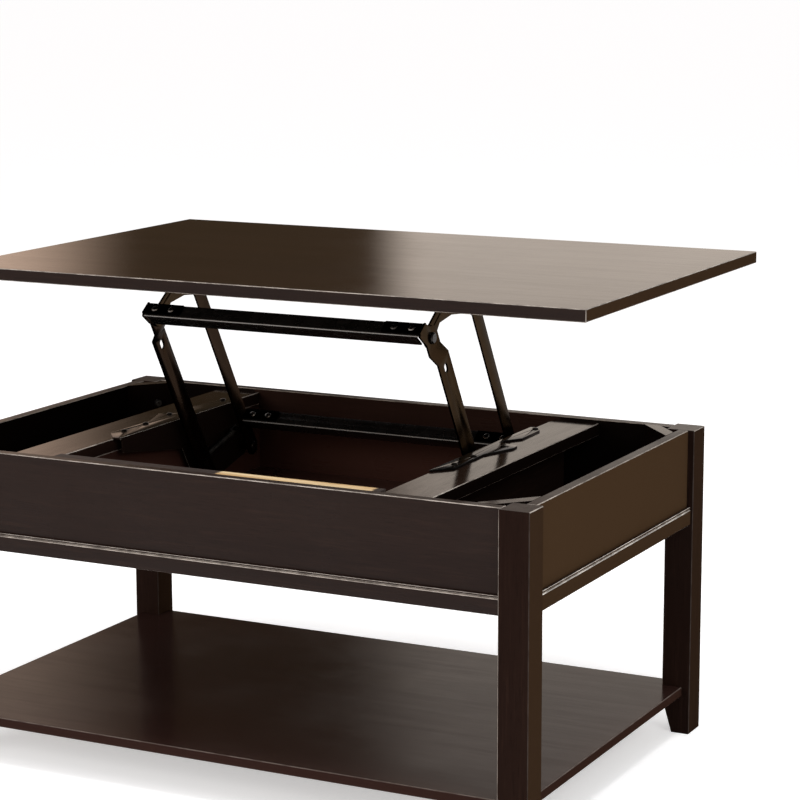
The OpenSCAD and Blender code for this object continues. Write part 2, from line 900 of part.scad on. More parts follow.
// A front arm on the right: a flat bar, stepped sideways below a head that meets the bar's ridge
module front_arm() {
    far = arm_l + bar_leg + bar_fwd;
    difference() {
        intersection() {
            translate([0, front_pivot.x, front_pivot.y])
            rotate([90, 0, 90])
            rotate([0, 0, 180 - open_a])
            translate([0, arm_w * 2, 0])
            rotate([90, 0, 0])
            linear_extrude(arm_w * 4)
            polygon([[-arm_w, arm_x], [arm_l - jog_at - jog_l, arm_x], [arm_l - jog_at, head_x], [far, head_x],
                [far, head_x + arm_t], [arm_l - jog_at, head_x + arm_t],
                [arm_l - jog_at - jog_l, arm_x + arm_t], [-arm_w, arm_x + arm_t]]);
            plate(head_x - 1, arm_x + arm_t + 1)
            difference() {
                union() {
                    along_arm(front_pivot) {
                        circle(arm_w / 2);
                        translate([0, -arm_w / 2])
                        square([arm_l, arm_w]);
                        translate([arm_l, 0])
                        circle(arm_w / 2);
                    }
                    translate(bar_ridge)
                    polygon([each bar_arc, bar_leg * [cos(bar_half), -sin(bar_half)], [bar_fwd, -8],
                        [bar_fwd, 8], bar_leg * [cos(bar_half), sin(bar_half)],
                        on_bar(bar_leg, tab_t + 0.5), on_bar(tab_from - 0.6, tab_t + 0.5)]);
                }
                along_arm(front_pivot)
                translate([arm_l - slot_at, 0]) {
                    translate([-slot_l / 2 + slot_w / 2, -slot_w / 2])
                    square([slot_l - slot_w, slot_w]);
                    translate([-slot_l / 2 + slot_w / 2, 0])
                    circle(slot_w / 2);
                    translate([slot_l / 2 - slot_w / 2, 0])
                    circle(slot_w / 2);
                }
            }
        }
        bar(front_pivot, pin_r + run_gap, head_x - 1, comp_x);
        bar(front_head, pin_r + set_gap, head_x - 1, comp_x);
        bar(arm_spring_pin, spring_pin_r + set_gap, head_x - 1, comp_x);
    }
    difference() {
        plate(head_x - tab_l, head_x + arm_t / 2)
        translate(bar_ridge)
        tab_section();
        rivet_bores(head_x, bar_ridge, 0);
    }
}

module front_arm_left() {
    color(steel)
    placed()
    to_left()
    front_arm();
}

module front_arm_right() {
    color(steel)
    placed()
    front_arm();
}

module upper_crossbar() {
    color(steel)
    placed()
    difference() {
        plate(left_in - head_x, head_x)
        translate(bar_ridge)
        bar_section();
        lift_sides() {
            rivet_bores(head_x, bar_ridge, 0);
            translate([head_x - bar_relief, bar_ridge.x - 5, bar_ridge.y - bar_leg])
            cube([bar_relief + 1, bar_leg + 10, bar_leg - 1]);
        }
    }
}

module upper_bar_rivets() {
    color(bright)
    placed()
    lift_sides()
    for (k = [0, 1]) {
        bar_rivet(head_x - rivet_in - k * rivet_pitch, bar_ridge, 0);
    }
}

module upper_pivot_bolts() {
    nut_x = web_x - side_gap;
    seat = head_x + arm_t + side_gap;
    color(bright)
    placed()
    lift_sides()
    turned(front_head, [[0, nut_x - pin_head_t], [pin_head_r - 1, nut_x - pin_head_t], [pin_head_r - 1, nut_x],
        [pin_r, nut_x], [pin_r, seat], [pin_head_r, seat], [pin_head_r, seat + pin_head_t - 1.5],
        [pin_head_r - 2, seat + pin_head_t], [0, seat + pin_head_t]]);
}

// A rear arm on the right: a flat bar with a round head and a tab for the lower crossbar
module rear_arm() {
    difference() {
        plate(rear_arm_x, rear_arm_x + arm_t)
        along_arm(rear_pivot) {
            circle(rear_arm_w / 2 + 1);
            translate([0, -rear_arm_w / 2])
            square([arm_l, rear_arm_w]);
            translate([arm_l, 0])
            circle(rear_head_r);
        }
        bar(rear_pivot, pin_r + run_gap, rear_arm_x - 1, comp_x);
        bar(rear_head, pin_r + set_gap, rear_arm_x - 1, comp_x);
    }
    difference() {
        plate(rear_arm_x - tab_l, rear_arm_x + arm_t / 2)
        translate(low_bar_ridge)
        rotate(-low_bar_tilt)
        tab_section();
        rivet_bores(rear_arm_x, low_bar_ridge, low_bar_tilt);
    }
}

module rear_arm_left() {
    color(steel)
    placed()
    to_left()
    rear_arm();
}

module rear_arm_right() {
    color(steel)
    placed()
    rear_arm();
}

module lower_crossbar() {
    color(steel)
    placed()
    difference() {
        plate(left_in - rear_arm_x, rear_arm_x)
        translate(low_bar_ridge)
        rotate(-low_bar_tilt)
        bar_section();
        lift_sides()
        rivet_bores(rear_arm_x, low_bar_ridge, low_bar_tilt);
    }
}

module lower_bar_rivets() {
    color(bright)
    placed()
    lift_sides()
    for (k = [0, 1]) {
        bar_rivet(rear_arm_x - rivet_in - k * rivet_pitch, low_bar_ridge, low_bar_tilt);
    }
}

// The pins that join the rear arms to the top brackets, with a spacer between the two plates
module rear_pivot_pins() {
    in_seat = web_x - side_gap;
    spacer0 = web_x + top_bracket_t + side_gap;
    spacer1 = rear_arm_x - side_gap;
    out_seat = rear_arm_x + arm_t + side_gap;
    color(bright)
    placed()
    lift_sides()
    turned(rear_head, [[0, in_seat - pin_head_t], [pin_head_r - 1, in_seat - pin_head_t],
        [pin_head_r - 1, in_seat], [pin_r, in_seat], [pin_r, spacer0], [shoulder_r - 0.5, spacer0],
        [shoulder_r - 0.5, spacer1], [pin_r, spacer1], [pin_r, out_seat], [pin_head_r, out_seat],
        [pin_head_r, out_seat + pin_head_t - 1.2], [pin_head_r - 1.2, out_seat + pin_head_t],
        [0, out_seat + pin_head_t]]);
}

// Places of the screws of the right-hand top bracket
module at_top_screws() {
    for (k = top_screw_at) {
        translate([web_x + top_bracket_t - top_flange_w * 0.6, front_head.x + top_bracket_l * k, 0])
        children();
    }
}

module tabletop() {
    color(wood)
    placed()
    difference() {
        board([-top_l / 2, top_shift - top_d / 2, under_z],
            [top_l / 2, top_shift + top_d / 2, under_z + top_t]);
        lift_sides()
        at_top_screws()
        translate([0, 0, under_z - 1])
        cylinder(r = screw_r + set_gap, h = screw_in + 1.5);
    }
}

// The pressed rib behind the front edge of the right-hand top bracket
module rib(x0, x1) {
    from = top_lobe_r * [-0.64, 0.77];
    to = web_h * [0.95, 1];
    u = (to - from) / norm(to - from);
    plate(x0, x1)
    translate(front_head + from)
    rotate(atan2(u.y, u.x))
    translate([9, -rib_in - rib_w])
    square([norm(to - from) - 8, rib_w]);
}

// The bracket under the top on the right: a flange and a cheek that rises from the front pivot
module top_bracket() {
    difference() {
        union() {
            plate(web_x, web_x + top_bracket_t)
            translate(front_head) {
                polygon([[-top_lobe_r * 0.64, top_lobe_r * 0.77], [web_h * 0.95, web_h], [top_bracket_l, web_h],
                    [top_bracket_l, web_h - 9], link + [rear_lobe_r * 0.8, -rear_lobe_r * 0.6],
                    link + [0, -rear_lobe_r], [66, 22], [30, 16], [top_lobe_r * 0.64, -top_lobe_r * 0.77]]);
                circle(top_lobe_r);
                translate(link)
                circle(rear_lobe_r);
            }
            translate([web_x + top_bracket_t - top_flange_w, front_head.x + web_h * 0.95, flange_z])
            cube([top_flange_w, top_bracket_l - web_h * 0.95, top_bracket_t]);
            rib(web_x - rib_d, web_x + 1);
        }
        rib(web_x + top_bracket_t - rib_d, web_x + top_bracket_t + 1);
        bar(front_head, pin_r + run_gap, web_x - 1, comp_x);
        bar(rear_head, pin_r + open_gap, web_x - 1, comp_x);
        at_top_screws()
        translate([0, 0, flange_z - 1])
        cylinder(r = screw_r + set_gap, h = top_bracket_t + 2);
    }
}

module top_bracket_left() {
    color(steel)
    placed()
    to_left()
    top_bracket();
}

module top_bracket_right() {
    color(steel)
    placed()
    top_bracket();
}

module top_screws() {
    color(bright)
    placed()
    lift_sides()
    at_top_screws()
    translate([0, 0, flange_z])
    mirror([0, 0, 1])
    screw(screw_in + top_bracket_t);
}

leg_front_left();
leg_front_right();
leg_rear_left();
leg_rear_right();
apron_front();
apron_rear();
apron_left();
apron_right();
rail_front();
rail_rear();
rail_left();
rail_right();
corner_braces();
hanger_bolts();
hanger_nuts();
shelf();
shelf_dowels();
storage_floor();
floor_strips();
divider_left();
divider_right();
ledge_left();
ledge_right();
front_cleat();
base_bracket_left();
base_bracket_right();
base_screws();
base_pivot_pins();
spring_anchor_pins();
spring_left();
spring_right();
front_arm_left();
front_arm_right();
upper_crossbar();
upper_bar_rivets();
upper_pivot_bolts();
arm_spring_pins();
rear_arm_left();
rear_arm_right();
lower_crossbar();
lower_bar_rivets();
rear_pivot_pins();
tabletop();
top_bracket_left();
top_bracket_right();
top_screws();
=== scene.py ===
import json
import math

import bpy
import numpy as np
from mathutils import Matrix, Vector

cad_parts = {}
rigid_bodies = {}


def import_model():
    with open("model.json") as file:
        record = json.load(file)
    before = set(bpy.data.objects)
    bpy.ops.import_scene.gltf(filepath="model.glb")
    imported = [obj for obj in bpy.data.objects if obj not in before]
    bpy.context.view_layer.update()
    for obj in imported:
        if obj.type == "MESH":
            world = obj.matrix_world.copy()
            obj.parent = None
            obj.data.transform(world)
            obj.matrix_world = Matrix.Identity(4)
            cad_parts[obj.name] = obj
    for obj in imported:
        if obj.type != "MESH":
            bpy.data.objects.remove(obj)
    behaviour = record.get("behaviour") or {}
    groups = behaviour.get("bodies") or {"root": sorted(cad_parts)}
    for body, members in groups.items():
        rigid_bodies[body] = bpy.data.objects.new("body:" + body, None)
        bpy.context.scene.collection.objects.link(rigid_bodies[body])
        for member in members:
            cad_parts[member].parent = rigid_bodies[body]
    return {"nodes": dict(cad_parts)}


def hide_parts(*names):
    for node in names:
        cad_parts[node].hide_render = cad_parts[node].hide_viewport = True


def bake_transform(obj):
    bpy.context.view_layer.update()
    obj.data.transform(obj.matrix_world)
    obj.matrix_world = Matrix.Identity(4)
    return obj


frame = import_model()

nodes = frame["nodes"]
for o in list(bpy.data.objects):
    if o.type in {"MESH", "CAMERA", "LIGHT"} and o.name not in nodes:
        bpy.data.objects.remove(o)
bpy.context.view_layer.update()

X, Y, Z = 0, 1, 2
# Place of the body's middle along Y, in metres. The origin is the middle of the raised table.
BODY_Y = -0.0816586


def show(name, data):
    """A new object in the scene."""
    o = bpy.data.objects.new(name, data)
    bpy.context.scene.collection.objects.link(o)
    return o


# ---------------------------------------------------------------- shader helpers

def linear(red, green, blue):
    """A colour written in 0 to 255 as the linear colour that a shader takes."""
    values = []
    for c in (red, green, blue):
        c = c / 255
        values.append(c / 12.92 if c <= 0.04045 else ((c + 0.055) / 1.055) ** 2.4)
    return (*values, 1.0)


def add(tree, kind, values=None, **settings):
    """A new node; values go to its sockets by name or number, and sockets among them are linked."""
    node = tree.nodes.new(kind)
    for key, value in settings.items():
        setattr(node, key, value)
    for key, value in (values or {}).items():
        if isinstance(value, bpy.types.NodeSocket):
            tree.links.new(value, node.inputs[key])
        else:
            node.inputs[key].default_value = value
    return node


def math_node(tree, operation, a, b=0.0):
    return add(tree, "ShaderNodeMath", {0: a, 1: b}, operation=operation).outputs[0]


def product(tree, a, b):
    return math_node(tree, "MULTIPLY", a, b)


def total(tree, a, b):
    return math_node(tree, "ADD", a, b)


def split(tree, vector):
    """The parts of a vector along X, Y and Z."""
    return add(tree, "ShaderNodeSeparateXYZ", {0: vector}).outputs


def between(tree, value, low, high, to_low=0.0, to_high=1.0):
    """value from low to high as a smooth step from to_low to to_high."""
    return add(tree, "ShaderNodeMapRange", {
        "Value": value, "From Min": low, "From Max": high,
        "To Min": to_low, "To Max": to_high}, interpolation_type="SMOOTHSTEP").outputs[0]


def by_share(tree, share, at_none, at_all):
    """at_none where the share is 0, at_all where it is 1."""
    return between(tree, share, 0.0, 1.0, at_none, at_all)


def mix_colour(tree, share, first, second):
    """The first colour with a share of the second over it."""
    return add(tree, "ShaderNodeMix", {0: share, 6: first, 7: second}, data_type="RGBA").outputs[2]


def noise(tree, vector, scale, detail, roughness, distortion=0.0):
    return add(tree, "ShaderNodeTexNoise", {
        "Vector": vector, "Scale": scale, "Detail": detail,
        "Roughness": roughness, "Distortion": distortion}).outputs["Fac"]


def new_material(name):
    material = bpy.data.materials.new(name)
    material.use_nodes = True
    tree = material.node_tree
    return material, tree, tree.nodes["Principled BSDF"]


def set_surface(tree, shader, colour, roughness, height, strength, depth):
    """Links the colour, the roughness and a fine relief, its depth in metres, to the shader."""
    bump = add(tree, "ShaderNodeBump", {"Height": height, "Strength": strength, "Distance": depth})
    tree.links.new(colour, shader.inputs["Base Color"])
    tree.links.new(roughness, shader.inputs["Roughness"])
    tree.links.new(bump.outputs[0], shader.inputs["Normal"])


def facing(tree, coordinates, axis, low, high, to_low=0.0, to_high=1.0):
    """to_high on faces square to an axis of the object, to_low on the others."""
    part = split(tree, coordinates.outputs["Normal"])[axis]
    return between(tree, math_node(tree, "ABSOLUTE", part), low, high, to_low, to_high)


def edge_mask(tree, coordinates):
    """1 on the eased arrises of a board whose faces lie along the axes, 0 on its faces."""
    parts = split(tree, coordinates.outputs["Normal"])
    x, y, z = [math_node(tree, "ABSOLUTE", part) for part in parts]
    largest = math_node(tree, "MAXIMUM", math_node(tree, "MAXIMUM", x, y), z)
    return between(tree, largest, 0.80, 0.94, 1.0, 0.0)


# ---------------------------------------------------------------- wood

# The grain's scale along the board, as a share of its scale across the board
GRAIN_STRETCH = 0.05
# How far the grain of a board is moved from that of the board before it in WOOD, in metres
BOARD_STEP = (0.37, 0.61, 0.83)
# Depth of the relief of the pores and fibres, in metres
GRAIN_DEPTH = 0.0003
# Noise: scale, detail, roughness and, where there is any, distortion
FIGURE = (11.0, 4.0, 0.5, 0.6)
FIBRE = (210.0, 4.0, 0.65)
PORES = (720.0, 2.0, 0.5)
STREAKS = (75.0, 6.0, 0.75)
CLOUD = (7.0, 3.0, 0.6)
RUB = (42.0, 3.0, 0.6)
RINGS = (90.0, 4.0, 0.6, 0.5)
PINE_FIBRE = (520.0, 3.0, 0.6)
CREEP = (160.0, 2.0, 0.55)
# Distance from the middle at which the side bins begin, within the dividers, in metres
BIN_X = 0.2530
# Width over which the stain changes there, in metres
BIN_FADE = 0.004
# What outward() gives between the faces that stay as they are and those painted with shade
# of their own, the lift's boards towards the bins and the end aprons' inner faces, and with
# light of their own, the dividers towards the middle compartment
LEDGE_OUTER = (0.26, 0.30)
DIVIDER_INNER = (-0.20, -0.15)
END_APRON_INNER = (-0.40, -0.30)
# Heights between which the painted light on the middle compartment's walls gets weaker, in metres
REAR_APRON_FADE = (0.385, 0.405)
DIVIDER_FADE = (0.36, 0.42)
# How far the stain creeps along the bare cleat, and half the width of its edge, in metres
CREEP_LENGTH = 0.012
CREEP_EDGE = 0.003
# Share of the arris wear and painted highlight taken off again, as painted shade, on upright
# arrises that face -X, and on those that face +X
ARRIS_SHADE_LEFT = 0.15
ARRIS_SHADE_RIGHT = 0.9
# The same for the arrises of the tabletop that face +X
ARRIS_SHADE_TOP_RIGHT = 0.15

DARK_STAIN = linear(28, 18, 15)
MID_STAIN = linear(34, 23, 19)
LIGHT_STAIN = linear(46, 32, 26)
PORE_STAIN = linear(20, 13, 11)
# Painted light on the faces towards the ends of the table
SIDE_LIGHT = linear(65, 49, 34)
# Painted light low on the middle compartment's rear wall
REAR_APRON_LIGHT = linear(74, 46, 38)
SHELF_STAIN = linear(52, 34, 30)
# Arrises: rubbed-off lacquer with a painted highlight, whitest along the rails' beads
WORN_AND_HIGHLIGHT = linear(184, 175, 166)
BEAD_WORN_AND_HIGHLIGHT = linear(238, 232, 224)
# Painted shade in the bins
BIN_SHADE = linear(10, 6, 5)
# Painted light in the middle compartment, on its floor and low on the dividers
COMPARTMENT_LIGHT = linear(76, 49, 42)
PINE = linear(214, 190, 148)
LATE_PINE = linear(186, 152, 106)
DARK_PINE = linear(140, 108, 68)


def in_bins(tree, coordinates):
    """1 over the side bins, 0 over the middle compartment."""
    x = math_node(tree, "ABSOLUTE", split(tree, coordinates.outputs["Object"])[X])
    return between(tree, x, BIN_X, BIN_X + BIN_FADE)


def outward(tree, coordinates):
    """Distance from the middle along X, above 0 on faces turned away from the middle of the
    table and below 0 on faces turned towards it."""
    normal = split(tree, coordinates.outputs["Normal"])[X]
    return product(tree, normal, split(tree, coordinates.outputs["Object"])[X])


def stain_shelf(tree, coordinates, colour):
    return mix_colour(tree, 0.6, colour, SHELF_STAIN)


def light_storage_floor(tree, coordinates, colour):
    """Painted light, brown, on the floor of the middle compartment, and less of it in the bins."""
    share = by_share(tree, in_bins(tree, coordinates), 0.9, 0.3)
    return mix_colour(tree, share, colour, COMPARTMENT_LIGHT)


def light_and_shade_rear_apron(tree, coordinates, colour):
    """Painted light, brown, low on the inner face of the middle compartment, and painted shade,
    black, in the bins.
    """
    normal = split(tree, coordinates.outputs["Normal"])[Y]
    inner = between(tree, normal, -0.99, -0.90, 1.0, 0.0)
    height = split(tree, coordinates.outputs["Object"])[Z]
    share = product(tree, inner, between(tree, height, *REAR_APRON_FADE, 0.6, 0.12))
    colour = mix_colour(tree, share, colour, REAR_APRON_LIGHT)
    return mix_colour(tree, product(tree, inner, in_bins(tree, coordinates)), colour, BIN_SHADE)


def shade_ledge(tree, coordinates, colour):
    """Painted shade, black, on the face towards the bin."""
    share = between(tree, outward(tree, coordinates), *LEDGE_OUTER, 0.0, 0.8)
    return mix_colour(tree, share, colour, BIN_SHADE)


def light_divider(tree, coordinates, colour):
    """Painted light, brown, on the face towards the middle compartment, and most so low down."""
    inner = between(tree, outward(tree, coordinates), *DIVIDER_INNER, 1.0, 0.0)
    height = split(tree, coordinates.outputs["Object"])[Z]
    share = product(tree, inner, between(tree, height, *DIVIDER_FADE, 1.0, 0.3))
    return mix_colour(tree, share, colour, COMPARTMENT_LIGHT)


def shade_end_apron(tree, coordinates, colour):
    """Painted shade, black, on the inner face, in the bin."""
    share = between(tree, outward(tree, coordinates), *END_APRON_INNER, 1.0, 0.0)
    return mix_colour(tree, share, colour, BIN_SHADE)


def shade_braces(tree, coordinates, colour):
    """Painted shade, black, on the upright faces, in the bins."""
    return mix_colour(tree, facing(tree, coordinates, Z, 0.2, 0.5, 0.85, 0.0), colour, BIN_SHADE)


# The shelf's own stain, and the painted light and shade of the other boards
OWN_STAIN_AND_LIGHT = {
    "shelf": stain_shelf, "storage_floor": light_storage_floor, "apron_rear": light_and_shade_rear_apron,
    "ledge_left": shade_ledge, "ledge_right": shade_ledge,
    "divider_left": light_divider, "divider_right": light_divider,
    "apron_left": shade_end_apron, "apron_right": shade_end_apron,
    "corner_braces": shade_braces,
}


def wear_and_highlight_mask(tree, coordinates, wear_and_highlight, arris_shade_right):
    """How far the arrises are lightened by rubbed-off lacquer and a painted highlight: in patches
    along the arrises, and less on upright ones, by a share given for the -X and the +X side.
    """
    rub = noise(tree, coordinates.outputs["Object"], *RUB)
    worn_and_lit = product(tree, edge_mask(tree, coordinates), between(tree, rub, 0.36, 0.62, 0.5, 1.0))
    upright = facing(tree, coordinates, Z, 0.2, 0.5, 1.0, 0.0)
    normal = split(tree, coordinates.outputs["Normal"])[X]
    arris_shade = product(tree, upright, between(tree, normal, -0.5, 0.3, ARRIS_SHADE_LEFT, arris_shade_right))
    return product(tree, worn_and_lit, math_node(tree, "SUBTRACT", wear_and_highlight, product(tree, arris_shade, wear_and_highlight)))


def stained_wood(name, number, axis, ior, rough, wear_and_highlight, polish, side):
    """Espresso lacquer over fine straight grain that runs along one axis.
    Its level faces are polished, its upright faces have the given polish, and the faces
    towards the ends of the table have painted light, lighter and browner."""
    material, tree, shader = new_material("stain_" + name)
    coordinates = add(tree, "ShaderNodeTexCoord")
    stretch = [1.0, 1.0, 1.0]
    stretch[axis] = GRAIN_STRETCH
    place = add(tree, "ShaderNodeMapping", {
        "Vector": coordinates.outputs["Object"],
        "Location": [step * number for step in BOARD_STEP], "Scale": stretch}).outputs[0]
    figure = noise(tree, place, *FIGURE)
    fibre = noise(tree, place, *FIBRE)
    pores = noise(tree, place, *PORES)
    colour = mix_colour(tree, between(tree, figure, 0.34, 0.66), DARK_STAIN, MID_STAIN)
    colour = mix_colour(tree, between(tree, fibre, 0.48, 0.74, 0.0, 0.45), colour, LIGHT_STAIN)
    colour = mix_colour(tree, between(tree, pores, 0.30, 0.46, 0.40, 0.0), colour, PORE_STAIN)
    arris_shade_right = ARRIS_SHADE_TOP_RIGHT if name == "tabletop" else ARRIS_SHADE_RIGHT
    # Wear and a painted highlight along the arrises
    worn_and_lit = wear_and_highlight_mask(tree, coordinates, wear_and_highlight, arris_shade_right)
    bead = name in ("rail_left", "rail_right")
    colour = mix_colour(tree, worn_and_lit, colour, BEAD_WORN_AND_HIGHLIGHT if bead else WORN_AND_HIGHLIGHT)
    # Painted light: the faces towards the ends of the table are lighter and browner
    if side:
        side_lit = product(tree, facing(tree, coordinates, X, 0.90, 0.99), side)
        colour = mix_colour(tree, side_lit, colour, SIDE_LIGHT)
    if name in OWN_STAIN_AND_LIGHT:
        colour = OWN_STAIN_AND_LIGHT[name](tree, coordinates, colour)

    cloud = noise(tree, coordinates.outputs["Object"], *CLOUD)
    gloss = between(tree, cloud, 0.3, 0.7, rough * 0.85, rough * 1.2)
    gloss = total(tree, gloss, between(tree, pores, 0.30, 0.50, 0.05, 0.0))
    gloss = total(tree, gloss, product(tree, worn_and_lit, 0.15))
    relief = total(tree, product(tree, fibre, 0.5), product(tree, pores, 0.5))
    set_surface(tree, shader, colour, gloss, relief, 0.10, GRAIN_DEPTH)

    level = facing(tree, coordinates, Z, 0.55, 0.75)
    ends = by_share(tree, facing(tree, coordinates, X, 0.80, 0.97), 0.5 * polish, 0.0)
    streaks = between(tree, noise(tree, place, *STREAKS), 0.36, 0.64, 0.38, 0.58)
    sheen = add(tree, "ShaderNodeMix", {0: level, 2: ends, 3: streaks}, data_type="FLOAT")
    tree.links.new(sheen.outputs[0], shader.inputs["Specular IOR Level"])
    shader.inputs["IOR"].default_value = ior
    return material


def bare_wood(name, bare=None):
    """Pale pine with growth lines along X, stained outside the given stretch of X."""
    material, tree, shader = new_material("pine_" + name)
    coordinates = add(tree, "ShaderNodeTexCoord")
    place = add(tree, "ShaderNodeMapping", {
        "Vector": coordinates.outputs["Object"], "Scale": (GRAIN_STRETCH, 1.0, 1.0)}).outputs[0]
    rings = noise(tree, place, *RINGS)
    fibre = noise(tree, place, *PINE_FIBRE)
    colour = mix_colour(tree, between(tree, rings, 0.38, 0.62), PINE, LATE_PINE)
    colour = mix_colour(tree, between(tree, fibre, 0.30, 0.50, 0.35, 0.0), colour, DARK_PINE)
    if bare:
        start, end = bare
        creep = product(tree, noise(tree, place, *CREEP), CREEP_LENGTH)
        x = total(tree, split(tree, coordinates.outputs["Object"])[X], creep)
        left = between(tree, x, start - CREEP_EDGE, start + CREEP_EDGE, 1.0, 0.0)
        right = between(tree, x, end - CREEP_EDGE, end + CREEP_EDGE)
        colour = mix_colour(tree, math_node(tree, "MAXIMUM", left, right), colour, MID_STAIN)
    gloss = between(tree, fibre, 0.3, 0.7, 0.50, 0.62)
    set_surface(tree, shader, colour, gloss, fibre, 0.25, GRAIN_DEPTH)
    return material


# ---------------------------------------------------------------- metal

# Depth of the relief of a coat or a plated surface, in metres
METAL_DEPTH = 0.0001
# Noise: scale, detail and roughness
MOTTLE = (38.0, 3.0, 0.5)
GRIT = (1500.0, 2.0, 0.5)
SCUFF = (420.0, 3.0, 0.6)
FILM = (160.0, 4.0, 0.6)
MARKS = (2400.0, 2.0, 0.5)
# Turn and scale of the scuffs, which are long and run aslant
SCUFF_TURN = (0.5, 0.3, 0.9)
SCUFF_SCALE = (1.0, 0.08, 1.0)

EDGE_COAT = linear(9, 8, 8)
SCUFFED_COAT = linear(86, 80, 74)
# Painted highlights along a flange's bend and along a bar's ridge
BEND_HIGHLIGHT = linear(232, 226, 218)
RIDGE_HIGHLIGHT = linear(170, 168, 164)


def painted_steel(name, colour, mottle_colour, rough, ior, flat=None, edge_colour=EDGE_COAT,
                  metallic=False, bend=0, ridge=False):
    """Sheet steel under a thin semi-gloss coat, faintly mottled and scuffed. Where the axis
    across the flats is given, the cut edges and the bends are darker and less glossy.
    A metallic coat mirrors in its own colour.
    With a bend of 1 or -1 a painted highlight runs along the bend on that side of a flange.
    With a ridge a painted highlight runs along the ridge that faces along Y."""
    material, tree, shader = new_material(name)
    coordinates = add(tree, "ShaderNodeTexCoord")
    where = coordinates.outputs["Object"]
    mottle = noise(tree, where, *MOTTLE)
    grit = noise(tree, where, *GRIT)
    slanted = add(tree, "ShaderNodeMapping", {
        "Vector": where, "Rotation": SCUFF_TURN, "Scale": SCUFF_SCALE}).outputs[0]
    scuff = between(tree, noise(tree, slanted, *SCUFF), 0.66, 0.74)
    scuff = product(tree, scuff, between(tree, mottle, 0.48, 0.60, 0.0, 0.5))
    base = mix_colour(tree, between(tree, mottle, 0.25, 0.75), colour, mottle_colour)
    base = mix_colour(tree, scuff, base, SCUFFED_COAT)
    if flat is not None:
        level = facing(tree, coordinates, flat, 0.80, 0.97)
        base = mix_colour(tree, level, edge_colour, base)
        specular = by_share(tree, level, 0.06, 0.5)
        tree.links.new(specular, shader.inputs["Specular IOR Level"])
    if metallic:
        shader.inputs["Metallic"].default_value = 1.0
        shader.inputs["Specular Tint"].default_value = (0.5, 0.5, 0.5, 1.0)
    if bend:
        x = product(tree, split(tree, coordinates.outputs["Normal"])[X], bend)
        line = product(tree, between(tree, x, 0.3, 0.5), between(tree, x, 0.85, 0.95, 1.0, 0.0))
        base = mix_colour(tree, product(tree, line, 0.95), base, BEND_HIGHLIGHT)
    if ridge:
        line = facing(tree, coordinates, Y, 0.955, 0.985)
        base = mix_colour(tree, product(tree, line, 0.5), base, RIDGE_HIGHLIGHT)
    gloss = between(tree, mottle, 0.3, 0.7, rough * 0.85, rough * 1.2)
    gloss = total(tree, gloss, product(tree, scuff, 0.12))
    set_surface(tree, shader, base, gloss, grit, 0.12, METAL_DEPTH)
    shader.inputs["IOR"].default_value = ior
    return material


def plated_steel(name, light, dark, rough):
    """Plated metal with a cloudy passivated film and fine turning or drawing marks."""
    material, tree, shader = new_material(name)
    where = add(tree, "ShaderNodeTexCoord").outputs["Object"]
    film = noise(tree, where, *FILM)
    marks = noise(tree, where, *MARKS)
    base = mix_colour(tree, between(tree, film, 0.35, 0.65), dark, light)
    base = mix_colour(tree, between(tree, marks, 0.30, 0.45, 0.4, 0.0), base, dark)
    gloss = between(tree, film, 0.3, 0.7, rough * 0.8, rough * 1.25)
    set_surface(tree, shader, base, gloss, marks, 0.10, METAL_DEPTH)
    shader.inputs["Metallic"].default_value = 1.0
    return material


# ---------------------------------------------------------------- looks of the CAD nodes

# Node: grain axis, index of refraction, roughness, wear and painted highlight of the arrises,
# polish of the upright faces, painted light on the faces towards the ends
WOOD = {
    "tabletop": (X, 1.30, 0.10, 0.65, 0.45, 0.65),
    "shelf": (X, 1.18, 0.16, 0.5, 0.15, 0.3),
    "apron_front": (X, 1.20, 0.30, 0.8, 0.8, 0.5),
    "apron_rear": (X, 1.20, 0.30, 0.8, 0.8, 0.5),
    "apron_left": (Y, 1.20, 0.30, 0.8, 0.04, 1.0),
    "apron_right": (Y, 1.20, 0.30, 0.8, 0.04, 1.0),
    "rail_front": (X, 1.20, 0.26, 1.0, 0.8, 0.5),
    "rail_rear": (X, 1.20, 0.26, 1.0, 0.8, 0.5),
    "rail_left": (Y, 1.20, 0.26, 1.0, 0.04, 0.75),
    "rail_right": (Y, 1.20, 0.26, 1.0, 0.04, 0.75),
    "leg_front_left": (Z, 1.20, 0.30, 0.8, 0.04, 0.55),
    "leg_front_right": (Z, 1.20, 0.30, 0.8, 0.04, 0.55),
    "leg_rear_left": (Z, 1.20, 0.30, 0.8, 0.04, 0.3),
    "leg_rear_right": (Z, 1.23, 0.30, 0.8, 0.04, 0.3),
    "corner_braces": (X, 1.28, 0.18, 0.0, 0.2, 0.0),
    "floor_strips": (X, 1.25, 0.45, 0.2, 0.4, 0.0),
    "storage_floor": (X, 1.30, 0.30, 0.2, 0.5, 0.0),
    "divider_left": (Y, 1.25, 0.34, 0.6, 0.2, 0.0),
    "divider_right": (Y, 1.25, 0.34, 0.6, 0.2, 0.0),
    "ledge_left": (Y, 1.28, 0.12, 0.9, 0.1, 0.0),
    "ledge_right": (Y, 1.28, 0.12, 0.9, 0.1, 0.0),
}
# Stretch of X over which the cleat is bare wood, in metres
CLEAT_BARE = (0.013, 0.242)

ARM = painted_steel("arm_coat", linear(50, 39, 28), linear(57, 45, 32), 0.24, 1.20, X,
                    metallic=True)
# The left arms get a darker copy of the arm coat, as painted shade
LEFT_ARM_SHADED = painted_steel("left_arm_shaded_coat", linear(42, 32, 25), linear(48, 37, 29), 0.24, 1.20, X,
                         metallic=True)
